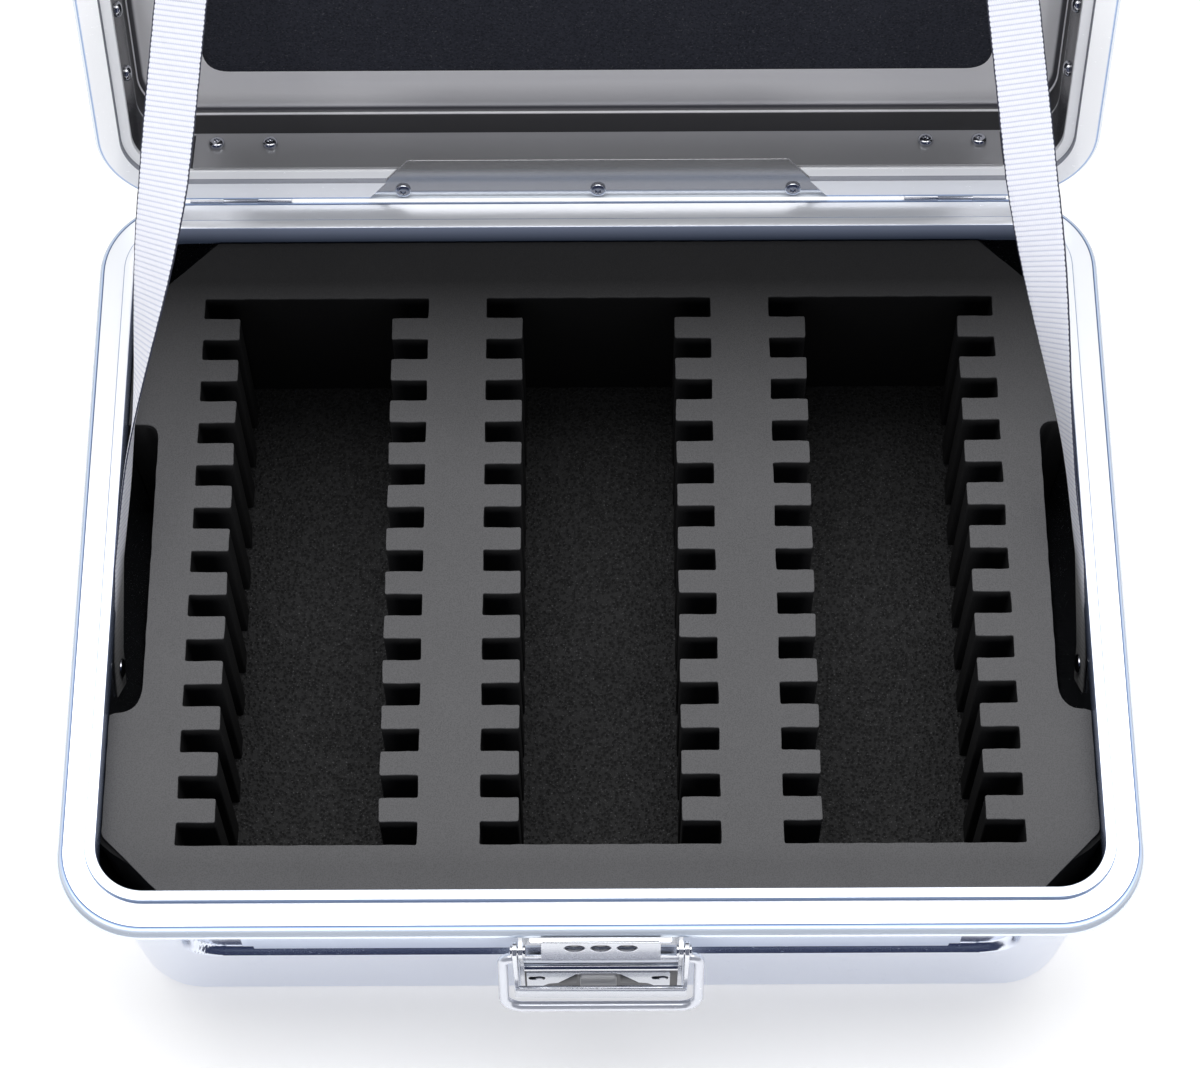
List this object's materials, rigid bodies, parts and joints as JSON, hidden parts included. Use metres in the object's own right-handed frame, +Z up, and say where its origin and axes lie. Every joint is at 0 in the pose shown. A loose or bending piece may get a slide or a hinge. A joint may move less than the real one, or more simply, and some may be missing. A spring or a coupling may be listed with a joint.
{
  "type": "hard chef knife case",
  "caption": "Hard metal case with a hinged lid, webbing lid straps, a draw latch and a slotted foam insert for chef knives.",
  "frame": {"origin": "middle of the flat bottom of the case's body", "axes": "+Z up, the latch side towards -Y, the hinges towards +Y, +X to the right seen from the front"},
  "size_m": [0.584, 0.6322, 0.6102],
  "materials": {
    "aluminium": "polished",
    "steel": "polished",
    "dark_metal": "dark",
    "grey_plate": "dark satin",
    "foam": "closed-cell foam",
    "foam_floor": "open-cell foam",
    "pad": "fine-celled pad",
    "webbing": "woven"
  },
  "bodies": {
    "case": {"body_shell": "aluminium", "body_rim": "aluminium", "foam_insert": "foam", "foam_base": "foam_floor", "front_strip": "aluminium", "latch_base": "aluminium", "window_backing": "dark_metal", "cross_bar": "steel", "strap_left": "webbing", "strap_foot_rivet_left": "steel", "body_hinge_leaf_left": "steel", "hinge_pin_left": "steel", "lever_pivot_left": "steel", "guide_pin_left": "steel", "strap_right": "webbing", "strap_foot_rivet_right": "steel", "body_hinge_leaf_right": "steel", "hinge_pin_right": "steel", "lever_pivot_right": "steel", "guide_pin_right": "steel"},
    "lid": {"lid_shell": "aluminium", "lid_rim": "aluminium", "lid_pad": "pad", "hinge_strip": "grey_plate", "hinge_cover": "grey_plate", "lid_keeper": "steel", "strip_screw_1": "steel", "strip_screw_2": "steel", "strip_screw_3": "steel", "strip_screw_4": "steel", "cover_screw_1": "steel", "cover_screw_2": "steel", "cover_screw_3": "steel", "lid_hinge_leaf_left": "steel", "strap_head_rivet_left": "steel", "keeper_rivet_left": "steel", "lid_hinge_leaf_right": "steel", "strap_head_rivet_right": "steel", "keeper_rivet_right": "steel", "lid_rivet_left_1": "steel", "lid_rivet_left_2": "steel", "lid_rivet_left_3": "steel", "lid_rivet_left_4": "steel", "lid_rivet_left_5": "steel", "lid_rivet_left_6": "steel", "lid_rivet_left_7": "steel", "lid_rivet_right_1": "steel", "lid_rivet_right_2": "steel", "lid_rivet_right_3": "steel", "lid_rivet_right_4": "steel", "lid_rivet_right_5": "steel", "lid_rivet_right_6": "steel", "lid_rivet_right_7": "steel"},
    "lever_body": {"lever": "aluminium"},
    "bail_body": {"bail": "steel"},
    "catch_body": {"safety_catch": "aluminium"}
  },
  "joints": [
    {"name": "lid_hinge", "type": "hinge", "parent": "case", "child": "lid", "pos_m": [0, 0.228, 0.1672], "axis": [1, 0, 0], "range_deg": [0, 104.4], "deforming": ["strap_left", "strap_right"]},
    {"name": "lever_hinge", "type": "hinge", "parent": "case", "child": "lever_body", "pos_m": [0, -0.2355, 0.163], "axis": [-1, 0, 0], "range_deg": [0, 180]},
    {"name": "bail_hinge", "type": "hinge", "parent": "lever_body", "child": "bail_body", "pos_m": [0, -0.2365, 0.154], "axis": [-1, 0, 0], "range_deg": [0, 180]},
    {"name": "catch_slide", "type": "slide", "parent": "case", "child": "catch_body", "axis": [1, 0, 0], "range_m": [0, 0.003]}
  ]
}
